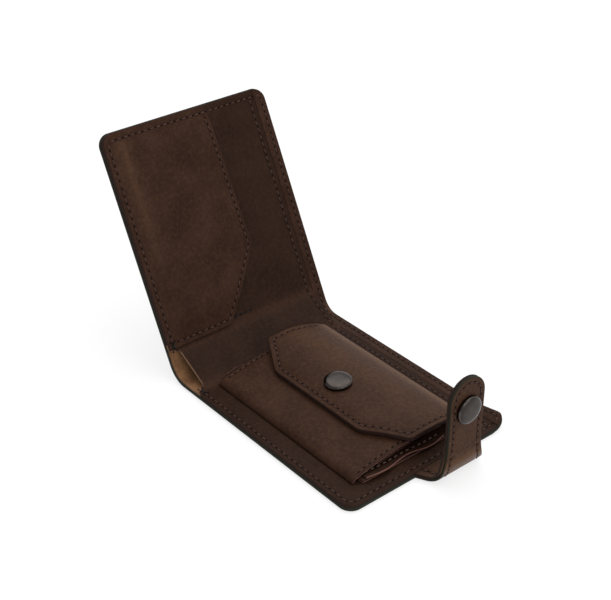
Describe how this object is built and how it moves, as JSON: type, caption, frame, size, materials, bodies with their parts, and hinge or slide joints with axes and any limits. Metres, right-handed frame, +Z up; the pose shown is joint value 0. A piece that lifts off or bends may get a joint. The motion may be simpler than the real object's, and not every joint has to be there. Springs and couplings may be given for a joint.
{
  "type": "coin purse wallet",
  "caption": "Bi-fold leather wallet with a snap-flap coin pocket with folded gussets, a card pocket, a note compartment and a snap closing strap.",
  "frame": {"origin": "middle of the underside of the flat half, on the table", "axes": "+X from the spine fold to the closing strap, +Y from the near long edge to the note opening, +Z up"},
  "size_m": [0.1826, 0.09, 0.103],
  "materials": {
    "cover_leather": "oiled, fine grain",
    "inner_leather": "matte, fine grain",
    "snap_caps": "satin gunmetal",
    "snap_inner": "satin"
  },
  "bodies": {
    "wallet_base": {"cover_flat": "cover_leather", "cover_spine": "cover_leather", "divider_flat": "inner_leather", "divider_spine": "inner_leather", "hem_flat": "cover_leather", "hem_spine": "cover_leather", "pocket_back": "inner_leather", "gusset_spine_side": "inner_leather", "gusset_strap_side": "inner_leather", "flap_fold": "cover_leather"},
    "back_half": {"cover_back": "cover_leather", "divider_back": "inner_leather", "hem_back": "cover_leather", "card_pocket_panel": "cover_leather", "strap_snap_stud": "snap_inner", "strap_stud_rivet": "snap_inner"},
    "pocket_mouth": {"pocket_front": "cover_leather", "flap_snap_stud": "snap_inner", "flap_snap_rivet": "snap_inner"},
    "coin_flap": {"flap_leather": "cover_leather", "flap_lining": "inner_leather", "flap_snap_cap": "snap_caps", "flap_snap_socket": "snap_caps"},
    "strap_root": {"strap_stub": "cover_leather", "strap_stub_lining": "inner_leather"},
    "strap_riser": {"strap_riser": "cover_leather", "strap_riser_lining": "inner_leather", "strap_bend": "cover_leather", "strap_bend_lining": "inner_leather"},
    "strap_tip": {"strap_tip": "cover_leather", "strap_tip_lining": "inner_leather", "strap_snap_cap": "snap_caps", "strap_snap_socket": "snap_caps"}
  },
  "joints": [
    {"name": "fold", "type": "hinge", "parent": "wallet_base", "child": "back_half", "pos_m": [-0.0557, 0, 0.0115], "axis": [0, 1, 0], "range_deg": [-60, 116.8], "deforming": ["cover_spine", "divider_spine", "hem_spine"]},
    {"name": "coin_flap", "type": "hinge", "parent": "wallet_base", "child": "coin_flap", "pos_m": [0.0001, 0.0295, 0.0065], "axis": [-1, 0, 0], "range_deg": [0, 165], "deforming": ["flap_fold"]},
    {"name": "pocket_mouth", "type": "hinge", "parent": "wallet_base", "child": "pocket_mouth", "pos_m": [0.0005, -0.03247, 0.00315], "axis": [1, 0, 0], "range_deg": [0, 6], "deforming": ["gusset_spine_side", "gusset_strap_side"]},
    {"name": "strap_root", "type": "hinge", "parent": "wallet_base", "child": "strap_root", "pos_m": [0.0562, 0.007, 0.0026], "axis": [0, -1, 0], "range_deg": [0, 90]},
    {"name": "strap_bend", "type": "hinge", "parent": "strap_root", "child": "strap_riser", "pos_m": [0.06281, 0.007, 0.00349], "axis": [0, -1, 0], "range_deg": [-90, 0], "deforming": ["strap_bend", "strap_bend_lining"]},
    {"name": "strap_tip", "type": "hinge", "parent": "strap_riser", "child": "strap_tip", "pos_m": [0.0637, 0.007, 0.02], "axis": [0, -1, 0], "range_deg": [0, 90]}
  ],
  "couplings": [
    {"joint": "pocket_mouth", "follows": "coin_flap", "ratio": 0.036364},
    {"joint": "strap_bend", "follows": "strap_root", "ratio": -1},
    {"joint": "strap_tip", "follows": "strap_root", "ratio": 1}
  ]
}
